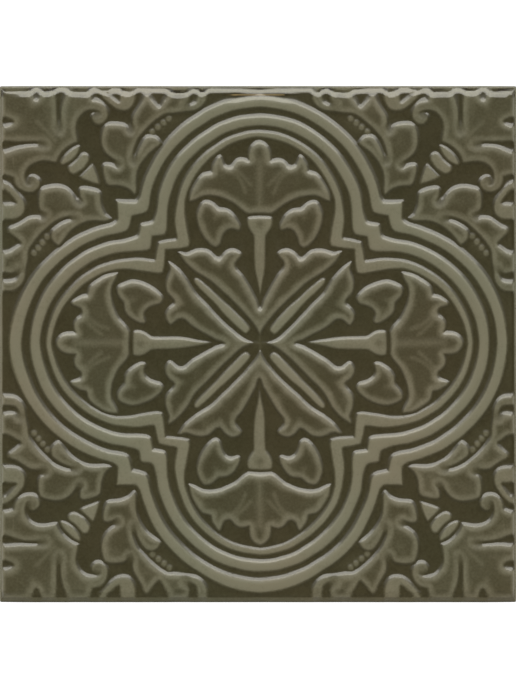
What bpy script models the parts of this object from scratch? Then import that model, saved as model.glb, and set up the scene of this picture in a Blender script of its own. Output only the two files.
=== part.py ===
"""Square ceramic accent tile with a pressed relief: a woven four-lobed band, leaves and corner palmettes.

The tile lies on its back in metres, face up, with its centre on the origin. All of the relief repeats
eight times round the centre, so the outlines below cover one wedge, from the upright axis (x = 0) to
the diagonal (x = y). They are in millimetres from the tile's centre.
"""

import math

import bmesh
import bpy

MM = 0.001

# Driving dimensions of the blank, in millimetres.
TILE_SIDE = 200.0
FIELD_HEIGHT = 8.6
RELIEF_HEIGHT = 1.3
BEAD_HEIGHT = 0.9

# The face falls away to the four sides and ends in a rounded edge. Each step is a distance from the
# side and the height of the surface there. The back's edge is eased.
EDGE_STEPS = ((3.9, 9.9), (2.4, 9.25), (0.9, 8.2), (0.35, 7.75), (0.0, 7.0))
BACK_EASE = 0.5

# A motif's wall leans in over this run, and its foot is sunk this far into the blank.
WALL_RUN = 0.75
WALL_FOOT_BELOW_FIELD = 0.1
MOTIF_SINK = 2.6
OUTLINE_TOLERANCE = 0.34

# Motifs that reach the tile's edge are drawn past it and trimmed by the blank.
PAST_EDGE = 101.5

CENTRE_LEAF = [
    (0, 4.6), (0.7, 5.0), (1.3, 5.9), (2, 6.9), (3, 8.3), (4, 9.5), (5, 10.6), (6, 11.8), (8, 13.9),
    (10, 15.8), (12, 17.8), (15, 20.4), (17, 22.6), (20, 25.1), (21.5, 26.0), (23, 26.9), (24.8, 27.9),
    (25.9, 28.8), (27.2, 29.8), (28.5, 31.0), (29.4, 32.0), (30.2, 33.2), (31.0, 34.3), (31.6, 35.4),
    (30.4, 35.4), (29.5, 35.0), (28.6, 34.9), (27.5, 35.2), (26, 35.8), (24.5, 36.3), (23, 36.5),
    (21.5, 36.4), (20, 36.0), (18.8, 35.2), (17.8, 34.2), (16.8, 33.3), (15.6, 33.1), (14.8, 33.8),
    (14.2, 34.7), (13.2, 35.6), (12, 36.3), (10.8, 36.65), (9.6, 36.5), (8.3, 36.0), (7.3, 35.2),
    (7.0, 34.6), (7.4, 33.9), (8.2, 33.0), (9.1, 32.0), (9.5, 31.0), (9.5, 30.0), (9.1, 29.0),
    (8.2, 28.0), (7.3, 27.0), (6.5, 26.0), (5.3, 24.0), (4.1, 22.0), (3.0, 20.0), (2.0, 18.0),
    (1.4, 17.0), (1.1, 15.5), (0.6, 14.4), (0, 14.1),
]

DIAGONAL_BAR = [
    (4.2, 4.2), (4.0, 5.2), (5.0, 7.0), (7.5, 9.9), (10, 12.6), (12, 14.6), (15, 17.0), (19, 21.1),
    (22, 23.9), (24, 25.4), (25.3, 25.3),
]

SPINDLE = [
    (0, 19), (0.5, 21.2), (0.8, 23), (1.2, 25), (1.65, 27), (1.95, 29), (2.15, 31.5), (2.3, 36),
    (2.3, 40.5), (2.5, 41.9), (3.2, 43.0), (4.1, 44.3), (4.7, 45.7), (4.95, 47), (4.85, 48.3),
    (4.3, 49.15), (0, 49.25),
]

PALMETTE = [
    (0, 50.6), (4.4, 50.4), (6, 51.2), (7, 52.0), (8, 52.9), (9, 53.8), (10, 54.6), (12, 55.6),
    (13, 56.0), (15, 56.8), (17, 57.2), (19, 57.5), (20, 57.5), (21, 57.4), (22, 57.2), (23, 56.8),
    (24, 56.2), (25, 55.7), (26, 55.2), (27.4, 55.0), (27.25, 56.5), (27.0, 57.9), (26.7, 59.1),
    (26.1, 60.5), (25.4, 61.7), (24.5, 63.2), (23.6, 64.5), (22.5, 65.7), (21.4, 66.3), (20.1, 66.6),
    (19.2, 66.75), (18.75, 67.05), (18.6, 68.1), (18.4, 69.2), (17.8, 70.4), (17, 71.7), (16.3, 72.7),
    (15.5, 73.1), (14.9, 72.6), (14.4, 71.3), (14, 70.05), (13.4, 69.25), (12.5, 68.9), (11.7, 68.9),
    (10.85, 69.4), (10.3, 70.2), (9.6, 70.9), (8.8, 71.5), (7.6, 71.9), (6.5, 71.9), (5.3, 71.6),
    (4.4, 71.3), (4.4, 72.5), (4.3, 73.6), (4.1, 74.9), (3.6, 76.3), (2.8, 77.3), (1.85, 78.1),
    (0.7, 78.6), (0, 78.7),
]

HEART_LEAF = [
    (15.3, 38.5), (16.2, 37.6), (17.2, 37.2), (18.5, 37.7), (19.5, 38.6), (20.6, 39.8), (21.6, 41.2),
    (22.5, 42.8), (23.3, 44.5), (23.9, 46.3), (24.3, 48.0), (24.4, 49.4), (24.2, 50.6), (23.7, 52),
    (23.2, 53.2), (22.6, 54.3), (21.8, 55.1), (20.6, 55.4), (19.3, 55.1), (18.0, 54.4), (17.0, 53.5),
    (16.2, 52.7), (15.3, 52.4), (14, 52.4), (12.7, 52.2), (11.6, 51.6), (10.5, 50.7), (9.6, 49.6),
    (8.8, 48.3), (8.1, 47.0), (7.7, 46.0), (7.6, 45.0), (7.9, 44.2), (8.6, 44.0), (9.6, 44.3),
    (10.6, 44.6), (11.6, 44.6), (12.6, 44.2), (13.4, 43.5), (14.1, 42.5), (14.6, 41.3), (14.9, 40.2),
    (15.1, 39.2),
]

# Each band is an arc about the lobe's centre, then a stepped run to the diagonal. A rim gives the
# arc's radius at the top, at half way and at its end, then the points of the step.
LOBE_CENTRE = (0.0, 50.0)
ARC_END_DEGREES = 80.0
ARC_POINTS = 11
OUTER_BAND_OUTSIDE = (46.6, 46.2, 47.1), [
    (46.6, 57.0), (47.3, 55.5), (48.2, 54.9), (51.0, 54.9), (55.2, 55.2),
]
OUTER_BAND_INSIDE = (41.3, 41.4, 43.0), [
    (42.75, 54.5), (43.4, 52.2), (44.3, 51.0), (46.2, 50.3), (48.4, 49.9), (49.6, 49.6),
]
MIDDLE_BAND_OUTSIDE = (39.25, 39.0, 40.3), [
    (40.4, 52), (40.6, 49.5), (41.2, 47.7), (42.3, 46.7), (44.6, 46.4), (46.0, 46.0),
]
MIDDLE_BAND_INSIDE = (34.6, 34.3, 35.5), [
    (35.6, 51.5), (35.85, 48), (36.0, 44.5), (36.5, 43.0), (37.3, 42.2), (40.0, 41.9), (41.6, 41.6),
]
INNER_BAND_OUTSIDE = (32.75, 31.9, 32.8), [
    (33.05, 51), (32.9, 47.5), (32.3, 43.8), (31.9, 41.3), (32.3, 40.5), (35.0, 40.2), (39.1, 39.1),
]
INNER_BAND_INSIDE = (30.4, 29.2, 29.5), [
    (28.8, 50.5), (28.5, 48), (28.0, 45), (27.4, 41.5), (27.0, 39.4), (27.4, 37.8), (29.5, 37.2),
    (33.0, 36.85), (36.6, 36.6),
]

SPRAY = [
    (48.5, 57.6), (49.3, 58.5), (50.3, 59.6), (51.5, 60.2), (53, 60.8), (54.5, 61.2), (56, 61.3),
    (57.5, 61.4), (58.6, 61.6), (59.4, 62.4), (60, 63.8), (60.4, 65.5), (60.7, 67), (60.8, 68.5),
    (60.4, 69.4), (59.6, 69.8), (58.4, 69.7), (57, 69.4), (55.8, 68.8), (55, 68.5), (54.3, 69.5),
    (54.5, 70.2), (55.3, 70.8), (56.3, 71.3), (57.5, 72), (58.8, 73), (59.8, 74), (60.6, 75.3),
    (61.1, 76.7), (61.4, 78.3), (61.4, 79.8), (61.2, 81.3), (60.9, 82.6), (60.5, 84), (59.9, 84.9),
    (58.9, 85.4), (57.5, 85.7), (56, 85.8), (54.5, 85.7), (53, 85.5), (52, 85), (51.3, 84.2),
    (50.9, 83.2), (50.4, 82.5), (49.7, 82.2), (49.1, 82.6), (48.9, 83.6), (49.0, 84.5), (49.3, 86),
    (49.3, 87.3), (49.1, 88.6), (48.6, 89.7), (47.8, 90.8), (47, 92), (46.2, 93.2), (45.5, 94.3),
    (44.9, 95.3), (44.3, 96), (43.7, 96.4), (43, 96.2), (42.2, 95.4), (41.3, 94.4), (40.4, 93.4),
    (39.7, 92.6), (39, 92.1), (38.3, 92.3), (37.9, 93), (37.3, 94), (36.6, 95), (35.9, 95.9),
    (35.2, 96.6), (33, 97.3), (31, 97.8), (28, 98), (27.4, 97), (27.2, 95.5), (27.6, 94.2),
    (28.6, 93.2), (30, 92.7), (27.8, 92.5), (25.5, 93.3), (24.2, 94.6), (24.2, PAST_EDGE),
    (20.3, PAST_EDGE), (20.3, 96), (20.6, 94.5), (21.5, 93), (23, 91.6), (25, 90.7), (27, 90.5),
    (29, 90.3), (31, 89.9), (33, 89.5), (35.2, 89.5), (37, 89), (38.5, 88), (40.5, 86.5),
    (42.5, 84.8), (44, 83.2), (45.5, 81.6), (46.8, 80.2), (47.6, 78.8), (48.2, 77.3), (48.8, 75.6),
    (49.2, 73.8), (49.4, 72), (49.3, 70.5), (48.3, 70), (48.2, 71.3), (48, 72.8), (47.6, 74.3),
    (47, 75.8), (46.3, 77.2), (45.5, 78.5), (44.7, 79.6), (43.8, 80.5), (42.5, 80.8), (41.5, 80.8),
    (40.5, 80.5), (39.6, 79.9), (38.8, 79), (38.1, 77.8), (39.2, 76.7), (40.5, 75.9), (41.8, 74.9),
    (43, 73.9), (44.2, 72.6), (45.2, 71.3), (46.2, 69.8), (46.9, 68.3), (47.4, 66.8), (47.7, 65.2),
    (47.8, 63.5), (47.8, 61.5), (47.7, 59.8), (47.9, 58.5),
]

BEAD_RADIUS = 1.0
BEADS = [(35.1, 87.4), (37.2, 85.7), (39.3, 84.0), (41.5, 82.2)]

S_SCROLL = [
    (48.3, PAST_EDGE), (48.2, 96.5), (48.4, 94.7), (48.9, 93.3), (49.7, 92.1), (50.9, 91.1),
    (52.5, 90.7), (54.2, 90.8), (55.8, 91.3), (57.6, 92.6), (59.6, 94.3), (61.2, 96.0), (62.2, 97.5),
    (63.5, PAST_EDGE), (61.0, PAST_EDGE), (59.7, 97.4), (58.4, 96.2), (56.6, 94.7), (55.2, 93.7),
    (54.4, 93.6), (54.0, 94.6), (54.1, 96), (53.9, 97.3), (53.4, PAST_EDGE),
]

CORNER_PALMETTE = [
    (75.5, 75.5), (73, 77.5), (70.3, 78.5), (70.4, 80), (70.8, 82), (71.0, 84), (70.7, 86),
    (69.9, 87.9), (68.6, 89.4), (67.0, 90.35), (65.2, 90.65), (63.6, 90.5), (62.3, 90.1),
    (61.7, 89.4), (61.9, 88.8), (62.8, 88.7), (63.9, 89.1), (64.8, 88.9), (65.2, 88.0), (65.1, 87.0),
    (64.4, 85.9), (63.4, 85.1), (62.2, 84.9), (60.9, 85.3), (59.8, 86.2), (59.0, 87.4), (58.7, 88.8),
    (58.9, 90.6), (59.6, 92.2), (60.7, 93.5), (62.0, 94.3), (63.4, 94.6), (64.6, 94.8), (65.1, 96.2),
    (66.0, 97.2), (67.5, 97.9), (69.5, 98.2), (71.5, 97.9), (73.3, 97.3), (74.6, 96.4), (75.6, 95.0),
    (76.3, 93.3), (76.8, 91.4), (77.0, 89.2), (77.0, 86.5), (76.9, 84), (77.1, 82.3), (78.2, 83),
    (78.4, 86), (78.4, 90), (78.4, 94), (78.7, 96.3), (79.6, 97.5), (81.2, 98.1), (83.0, 98.3),
    (84.3, 97.8), (85.1, 96.6), (85.7, 95.2), (86.5, 94.7), (87.3, 95.5), (88, 96.8), (88.6, 98.2),
    (89.8, PAST_EDGE), (PAST_EDGE, PAST_EDGE),
]

FIRST_POD = [
    (71.8, 71.8), (70.4, 73.7), (69.6, 75.4), (69.4, 76.6), (69.8, 77.2), (71, 76.8), (72.5, 75.9),
    (74.3, 74.3),
]
SECOND_POD = [
    (68, 68), (67, 69.5), (66, 71), (65.8, 72.3), (66.4, 73.5), (67.4, 74.2), (68.6, 74), (69.5, 73), (71, 71),
]
THIRD_POD = [(61.9, 62.1), (62.4, 64), (63.2, 66.5), (64, 68.5), (64.8, 69.6), (67.2, 67.2)]


def mirrored_across_axis(half):
    """The closed outline whose right half is given, from the upright axis back to it."""
    left = [(-x, y) for x, y in reversed(half) if x > 0.01]
    return half + left


def mirrored_across_diagonal(half):
    """The closed outline whose upper half is given, from the diagonal back to it."""
    lower = [(y, x) for x, y in reversed(half) if abs(x - y) > 0.3]
    return half + lower


def band_rim(rim):
    """One rim of a band in the wedge: the arc from past the upright axis, then the step to the diagonal."""
    (at_top, half_way, at_end), step = rim
    slope = 4 * half_way - 3 * at_top - at_end
    bend = 2 * (at_top + at_end - 2 * half_way)
    points = []
    for index in range(-1, ARC_POINTS + 1):
        along = index / ARC_POINTS
        angle = math.radians(ARC_END_DEGREES * along)
        radius = at_top + slope * along + bend * along**2
        across, up = radius * math.sin(angle), radius * math.cos(angle)
        points.append((LOBE_CENTRE[0] + across, LOBE_CENTRE[1] + up))
    return points + step


def band(outside, inside):
    """A band through the quarter, from the upright axis to the level one, bent at the diagonal."""
    outer = mirrored_across_diagonal(band_rim(outside))
    inner = mirrored_across_diagonal(band_rim(inside))
    return outer + inner[::-1]


def turned_outline(outline):
    """The outline running anticlockwise."""
    doubled_area = 0.0
    for (x0, y0), (x1, y1) in zip(outline, outline[1:] + outline[:1]):
        doubled_area += x0 * y1 - x1 * y0
    return outline if doubled_area > 0 else outline[::-1]


def distance_to_chord(point, start, end):
    along = (end[0] - start[0], end[1] - start[1])
    length = math.hypot(*along)
    offset = (point[0] - start[0], point[1] - start[1])
    if length < 1e-9:
        return math.hypot(*offset)
    return abs(along[0] * offset[1] - along[1] * offset[0]) / length


def thinned_run(points):
    """Leaves out the points of an open run that lie on the line between their neighbours."""
    distances = [distance_to_chord(point, points[0], points[-1]) for point in points[1:-1]]
    if not distances or max(distances) < OUTLINE_TOLERANCE:
        return [points[0], points[-1]]
    split = distances.index(max(distances)) + 1
    return thinned_run(points[: split + 1])[:-1] + thinned_run(points[split:])


def thinned(outline):
    half_way = len(outline) // 2
    first = thinned_run(outline[: half_way + 1])
    second = thinned_run(outline[half_way:] + outline[:1])
    return first[:-1] + second[:-1]


def crossing(a, b, c, d):
    """How far along the line a-b, as a share of it, the segment c-d crosses it, or None."""
    along = (b[0] - a[0], b[1] - a[1])
    across = (d[0] - c[0], d[1] - c[1])
    turn = along[0] * across[1] - along[1] * across[0]
    if abs(turn) < 1e-12:
        return None
    offset = (c[0] - a[0], c[1] - a[1])
    on_line = (offset[0] * across[1] - offset[1] * across[0]) / turn
    on_segment = (offset[0] * along[1] - offset[1] * along[0]) / turn
    return on_line if 0.0 <= on_segment <= 1.0 else None


def room_inward(outline, index, inward):
    """How far the motif reaches from one of its corners along the inward direction."""
    corner = outline[index]
    count = len(outline)
    nearest = 1000.0
    ahead = (corner[0] + inward[0], corner[1] + inward[1])
    for other in range(count):
        if other in (index, (index - 1) % count):
            continue
        reach = crossing(corner, ahead, outline[other], outline[(other + 1) % count])
        if reach is not None and 1e-6 < reach < nearest:
            nearest = reach
    return nearest


def inward_shifts(outline):
    """The shift of each corner from the wall's foot to its top."""
    shifts = []
    count = len(outline)
    for index in range(count):
        before, here, after = outline[index - 1], outline[index], outline[(index + 1) % count]
        first = (here[0] - before[0], here[1] - before[1])
        second = (after[0] - here[0], after[1] - here[1])
        first_length = math.hypot(*first)
        second_length = math.hypot(*second)
        normal = (
            -first[1] / first_length - second[1] / second_length,
            first[0] / first_length + second[0] / second_length,
        )
        size = math.hypot(*normal)
        inward = (normal[0] / size, normal[1] / size)
        run = WALL_RUN * min(2.0 / size, 1.5)
        run = min(run, 0.38 * room_inward(outline, index, inward))
        shifts.append((inward[0] * run, inward[1] * run))
    return shifts


def crossed_corners(ring):
    """The corners of the ring's edges that cross one another."""
    count = len(ring)
    found = set()
    for first in range(count):
        a, b = ring[first], ring[(first + 1) % count]
        for second in range(first + 2, count):
            if first == 0 and second == count - 1:
                continue
            c, d = ring[second], ring[(second + 1) % count]
            if max(a[0], b[0]) < min(c[0], d[0]) or max(c[0], d[0]) < min(a[0], b[0]):
                continue
            share = crossing(a, b, c, d)
            if share is not None and 0.0 <= share <= 1.0:
                found |= {first, (first + 1) % count, second, (second + 1) % count}
    return found


def wall_top(outline):
    """The outline of the motif's top, drawn in from its foot, less so where the motif is narrow."""
    shifts = inward_shifts(outline)
    for _ in range(12):
        ring = [(x + dx, y + dy) for (x, y), (dx, dy) in zip(outline, shifts)]
        bad = crossed_corners(ring)
        if not bad:
            return ring
        for index in bad:
            shifts[index] = (shifts[index][0] * 0.55, shifts[index][1] * 0.55)
    return ring


def add_raised_shape(mesh, outline, levels):
    """Adds a closed solid: the rings of the outline at their heights, capped at both ends."""
    rings = [
        [mesh.verts.new((x * MM, y * MM, height * MM)) for x, y in ring]
        for ring, height in levels
    ]
    count = len(outline)
    for lower, upper in zip(rings, rings[1:]):
        for index in range(count):
            after = (index + 1) % count
            mesh.faces.new((lower[index], lower[after], upper[after]))
            mesh.faces.new((lower[index], upper[after], upper[index]))
    mesh.faces.new(rings[-1])
    mesh.faces.new(rings[0][::-1])


def add_motif(mesh, outline):
    outline = thinned(turned_outline(outline))
    foot = FIELD_HEIGHT - WALL_FOOT_BELOW_FIELD
    top = FIELD_HEIGHT + RELIEF_HEIGHT
    levels = [(outline, foot - MOTIF_SINK), (outline, foot), (wall_top(outline), top)]
    add_raised_shape(mesh, outline, levels)


def add_bead(mesh, centre, radius):
    sides = 8
    steps = ((1.0, -MOTIF_SINK), (1.0, -WALL_FOOT_BELOW_FIELD), (0.55, BEAD_HEIGHT))
    levels = []
    for share, rise in steps:
        ring = []
        for side in range(sides):
            angle = 2 * math.pi * (side + 0.5) / sides
            reach = share * radius
            ring.append((centre[0] + reach * math.cos(angle), centre[1] + reach * math.sin(angle)))
        levels.append((ring, FIELD_HEIGHT + rise))
    add_raised_shape(mesh, levels[0][0], levels)


def make_object(name, mesh, collection, material):
    data = bpy.data.meshes.new(name)
    mesh.to_mesh(data)
    mesh.free()
    data.materials.append(material)
    made = bpy.data.objects.new(name, data)
    collection.objects.link(made)
    return made


def relief_mesh():
    """All motifs of the quarter x > 0, y > 0. Those on an axis run past it and are trimmed by the mirror."""
    mesh = bmesh.new()
    for half in (CENTRE_LEAF, SPINDLE, PALMETTE):
        whole = mirrored_across_axis(half)
        add_motif(mesh, whole)
        add_motif(mesh, [(y, x) for x, y in whole])
    for half in (DIAGONAL_BAR, CORNER_PALMETTE, FIRST_POD, SECOND_POD, THIRD_POD):
        add_motif(mesh, mirrored_across_diagonal(half))
    for outside, inside in (
        (OUTER_BAND_OUTSIDE, OUTER_BAND_INSIDE),
        (MIDDLE_BAND_OUTSIDE, MIDDLE_BAND_INSIDE),
        (INNER_BAND_OUTSIDE, INNER_BAND_INSIDE),
    ):
        add_motif(mesh, band(outside, inside))
    for outline in (HEART_LEAF, SPRAY, S_SCROLL):
        add_motif(mesh, outline)
        add_motif(mesh, [(y, x) for x, y in outline])
    for x, y in BEADS:
        add_bead(mesh, (x, y), BEAD_RADIUS)
        add_bead(mesh, (y, x), BEAD_RADIUS)
    return mesh


def box_mesh(low, high):
    mesh = bmesh.new()
    outline = [(low[0], low[1]), (high[0], low[1]), (high[0], high[1]), (low[0], high[1])]
    add_raised_shape(mesh, outline, [(outline, low[2]), (outline, high[2])])
    return mesh


def blank_mesh():
    """The outer form that trims the quarter: the face's fall to the edge, the sides and the eased back."""
    mesh = bmesh.new()
    edge = TILE_SIDE / 2
    low = 0.0
    levels = []
    for inset, height in [(BACK_EASE, 0.0), (0.0, BACK_EASE)] + list(EDGE_STEPS[::-1]):
        reach = edge - inset
        levels.append(([(low, low), (reach, low), (reach, reach), (low, reach)], height))
    levels.append((levels[-1][0], FIELD_HEIGHT + RELIEF_HEIGHT + 1.0))
    add_raised_shape(mesh, levels[0][0], levels)
    return mesh


def add_boolean(target, name, operation, other):
    step = target.modifiers.new(name, "BOOLEAN")
    step.operation = operation
    step.solver = "EXACT"
    step.object = other


def keep_quarter_skin(tile):
    """Replaces the quarter by the result of its steps, opened where it will meet its mirror images."""
    graph = bpy.context.evaluated_depsgraph_get()
    skin = bpy.data.meshes.new_from_object(tile.evaluated_get(graph))
    mesh = bmesh.new()
    mesh.from_mesh(skin)
    inside = []
    for face in mesh.faces:
        for axis in (0, 1):
            if max(abs(corner.co[axis]) for corner in face.verts) < 0.001 * MM:
                inside.append(face)
                break
    bmesh.ops.delete(mesh, geom=inside, context="FACES")
    mesh.to_mesh(skin)
    mesh.free()
    tile.modifiers.clear()
    tile.data = skin


def main():
    for found in list(bpy.data.objects):
        bpy.data.objects.remove(found)
    part = bpy.data.collections.new("Accent tile")
    cutters = bpy.data.collections.new("Accent tile cutters")
    bpy.context.scene.collection.children.link(part)
    bpy.context.scene.collection.children.link(cutters)

    glaze = bpy.data.materials.new("Olive glaze")
    glaze.use_nodes = True
    shader = glaze.node_tree.nodes["Principled BSDF"]
    shader.inputs["Base Color"].default_value = (0.115, 0.105, 0.06, 1.0)
    shader.inputs["Roughness"].default_value = 0.18
    shader.inputs["Coat Weight"].default_value = 0.6

    field = box_mesh((-8.0, -8.0, -4.0), (TILE_SIDE / 2 + 1.5, TILE_SIDE / 2 + 1.5, FIELD_HEIGHT))
    tile = make_object("accent_tile", field, part, glaze)
    relief = make_object("relief_motifs", relief_mesh(), cutters, glaze)
    blank = make_object("tile_blank", blank_mesh(), cutters, glaze)
    for helper in (relief, blank):
        helper.hide_render = True
        helper.display_type = "WIRE"

    add_boolean(tile, "Raise the relief", "UNION", relief)
    add_boolean(tile, "Trim to the blank", "INTERSECT", blank)
    keep_quarter_skin(tile)
    quarters = tile.modifiers.new("Repeat the quarter", "MIRROR")
    quarters.use_axis = (True, True, False)
    quarters.merge_threshold = 0.00001


main()
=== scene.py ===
import math
import bpy
import numpy as np
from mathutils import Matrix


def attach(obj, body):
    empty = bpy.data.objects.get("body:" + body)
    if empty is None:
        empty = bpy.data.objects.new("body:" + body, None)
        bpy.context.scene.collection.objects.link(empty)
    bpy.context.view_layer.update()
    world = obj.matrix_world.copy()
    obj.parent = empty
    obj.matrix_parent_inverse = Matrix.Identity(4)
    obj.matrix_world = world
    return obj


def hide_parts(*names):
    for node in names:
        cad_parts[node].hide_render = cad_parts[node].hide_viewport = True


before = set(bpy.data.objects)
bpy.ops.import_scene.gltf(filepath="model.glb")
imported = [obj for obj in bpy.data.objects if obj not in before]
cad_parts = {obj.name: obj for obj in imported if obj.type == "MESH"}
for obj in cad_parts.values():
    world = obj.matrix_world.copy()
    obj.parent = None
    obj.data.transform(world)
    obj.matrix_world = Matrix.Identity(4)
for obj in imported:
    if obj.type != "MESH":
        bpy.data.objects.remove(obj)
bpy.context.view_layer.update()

mm = 0.001

# The blank and the press, in millimetres. Heights are above the bench.
blank = {
    "halfSide": 100.0,
    "fieldHeight": 8.6,
    "topReach": 99.25,  # where the face ends and the rounded edge begins
}
press = {
    "gridStep": 0.25,   # of the grid over one quarter of the face
    "relief": 1.25,     # height of a motif whose rise is 1
    "farthest": 6.0,    # how far from an outline its surroundings are worked out
    "ribRun": (0.2, 1.8),  # ribs fade towards a leaf's rim
}


def smoothStep(low, high, value):
    t = np.clip((value - low) / (high - low), 0.0, 1.0)
    return t * t * (3 - 2 * t)


def mirrorAcrossAxis(half):
    # a point that lies on the mirror line isn't repeated
    return half + [(-p[0],) + tuple(p[1:]) for p in reversed(half) if p[0] > 0.01]


def mirrorAcrossDiagonal(half):
    return half + [(p[1], p[0]) + tuple(p[2:]) for p in reversed(half) if abs(p[0] - p[1]) > 0.3]


def softenOutline(outline, closed=True):
    # corners are cut twice; a point with a third value stays sharp
    for _ in range(2):
        cut = []
        count = len(outline)
        for i, p in enumerate(outline):
            if len(p) > 2 or (not closed and i in (0, count - 1)):
                cut.append(p)
                continue
            before, after = outline[i - 1], outline[(i + 1) % count]
            cut.append(((before[0] + 3 * p[0]) / 4, (before[1] + 3 * p[1]) / 4))
            cut.append(((after[0] + 3 * p[0]) / 4, (after[1] + 3 * p[1]) / 4))
        outline = cut
    return [(p[0], p[1]) for p in outline]


axis = np.arange(0.0, blank["topReach"] + 0.01, press["gridStep"])
axis[-1] = blank["topReach"]
gridX, gridY = np.meshgrid(axis, axis, indexing="ij")


def patchAround(points, margin):
    # the slices of the grid that a shape can reach
    xs, ys = [p[0] for p in points], [p[1] for p in points]
    last = len(axis)
    slices = []
    for values in (xs, ys):
        low = max(0, int((min(values) - margin) / press["gridStep"]))
        high = min(last, int((max(values) + margin) / press["gridStep"]) + 2)
        slices.append(slice(low, high))
    return tuple(slices)


def lineDistance(points, patch, closed):
    px, py = gridX[patch], gridY[patch]
    nearest = np.full(px.shape, 1e9)
    inside = np.zeros(px.shape, bool)
    ends = points[1:] + points[:1] if closed else points[1:]
    for (ax, ay), (bx, by) in zip(points, ends):
        dx, dy = bx - ax, by - ay
        size = dx * dx + dy * dy
        if size < 1e-12:
            continue
        t = np.clip(((px - ax) * dx + (py - ay) * dy) / size, 0.0, 1.0)
        nearest = np.minimum(nearest, (px - ax - t * dx) ** 2 + (py - ay - t * dy) ** 2)
        if closed and abs(dy) > 1e-9:
            between = (py >= min(ay, by)) & (py < max(ay, by))
            inside ^= between & (px < ax + (py - ay) * dx / dy)
    nearest = np.sqrt(nearest)
    return np.where(inside, nearest, -nearest) if closed else nearest


def blurField(field, width):
    # the quarter is mirrored at the tile's middle and held at its edge
    step = press["gridStep"]
    reach = int(3 * width / step) + 1
    weights = np.exp(-0.5 * (np.arange(-reach, reach + 1) * step / width) ** 2)
    weights /= weights.sum()
    for turn in (0, 1):
        padded = np.concatenate([field[1:reach + 1][::-1], field, np.repeat(field[-1:], reach, 0)])
        blurred = np.zeros_like(field)
        for i, weight in enumerate(weights):
            blurred += weight * padded[i:i + field.shape[0]]
        field = blurred.T
    return field


def fieldAt(field, x, y):
    u = np.clip(x / press["gridStep"], 0, len(axis) - 1.001)
    v = np.clip(y / press["gridStep"], 0, len(axis) - 1.001)
    i, j = u.astype(int), v.astype(int)
    a, b = u - i, v - j
    low = field[i, j] * (1 - b) + field[i, j + 1] * b
    high = field[i + 1, j] * (1 - b) + field[i + 1, j + 1] * b
    return low * (1 - a) + high * a


past = 101.5  # shapes that run off the tile are drawn to here

# The motifs, in millimetres from the tile's centre. An outline covers one wedge, from the upright
# axis to the diagonal, and a point with a third value stays sharp.
#   rise: height, as a share of the press's relief
#   wall: where its foot lies (below 0 is outside the outline), its width, how soon it rounds over
#   edge: where thin glaze begins and where it is full; bright: how thin it is
#   pool: how much deeper the glaze pools inside
#   ribs: line, width, how far it clears the pool, height
#   hollows: place, half width and height, depth, how far it dulls the rim

# One leaf of the pair over the centre. The two meet on the upright axis.
centreLeaf = {
    "mirror": "axis", "rise": 1.02, "wall": (-0.42, 3.1, 2.3),
    "edge": (-0.25, 0.7), "bright": 0.84, "pool": 0.66,
    "outline": [
        (0, 3.0, 1), (0.6, 4.4), (1.4, 6.0), (2.1, 7.1), (3, 8.3), (4, 9.5), (5, 10.6), (6, 11.8),
        (8, 13.9), (10, 15.8), (12, 17.8), (15, 20.4), (17, 22.6), (20, 25.1), (21.5, 26.0), (23, 26.9),
        (24.8, 27.9),
        (25.9, 28.8), (27.2, 29.8), (28.5, 31.0), (29.4, 32.0), (30.2, 33.2), (31.0, 34.3), (31.6, 35.4, 1),
        (30.4, 35.4), (29.5, 35.0), (28.6, 34.9), (27.5, 35.2), (26, 35.8), (24.5, 36.3), (23, 36.5),
        (21.5, 36.4), (20, 36.0), (18.8, 35.2), (17.8, 34.2), (16.8, 33.3), (15.6, 33.1, 1), (14.8, 33.8),
        (14.2, 34.7), (13.2, 35.6), (12, 36.3), (10.8, 36.65), (9.6, 36.5), (8.3, 36.0), (7.3, 35.2),
        (7.0, 34.6), (7.4, 33.9), (8.2, 33.0), (9.1, 32.0), (9.5, 31.0), (9.5, 30.0), (9.1, 29.0),
        (8.2, 28.0), (7.3, 27.0), (6.5, 26.0), (5.3, 24.0), (4.1, 22.0), (3.0, 20.0), (2.0, 18.0),
        (1.35, 17.0), (0.95, 15.5), (0.5, 14.2), (0, 13.7, 1),
    ],
    "ribs": [([(15.6, 34.0), (15.4, 30.0)], 1.2, 0.30, 0.08), ([(0, 3.0), (0, 13.0)], 2.6, 0.34, 0.03)],
}

diagonalBar = {
    "mirror": "diagonal", "rise": 0.54, "wall": (-0.3, 1.9, 1.6),
    "edge": (-0.25, 0.75), "bright": 1.02, "pool": 0.0,
    "outline": [
        (4.3, 4.3), (3.5, 5.3), (4.3, 6.8), (7.2, 9.9), (10, 12.6), (12, 14.6), (15, 17.0), (19, 21.1),
        (22, 23.9), (24, 25.4), (25.3, 25.3),
    ],
}

spindle = {
    "mirror": "axis", "rise": 0.66, "wall": (-0.38, 1.9, 1.5),
    "edge": (-0.35, 0.65), "bright": 0.88, "pool": 0.0,
    "outline": [
        (0, 19, 1), (0.5, 21.2), (0.8, 23), (1.2, 25), (1.65, 27), (1.95, 29), (2.15, 31.5), (2.3, 36),
        (2.3, 40.5), (2.5, 41.9, 1), (3.2, 43.0), (4.1, 44.3), (4.7, 45.7), (4.95, 47), (4.85, 48.3),
        (4.3, 49.15), (0, 49.25),
    ],
    "hollows": [(0, 46.2, 2.0, 2.0, 0.10, 0.36)],
}

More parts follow.
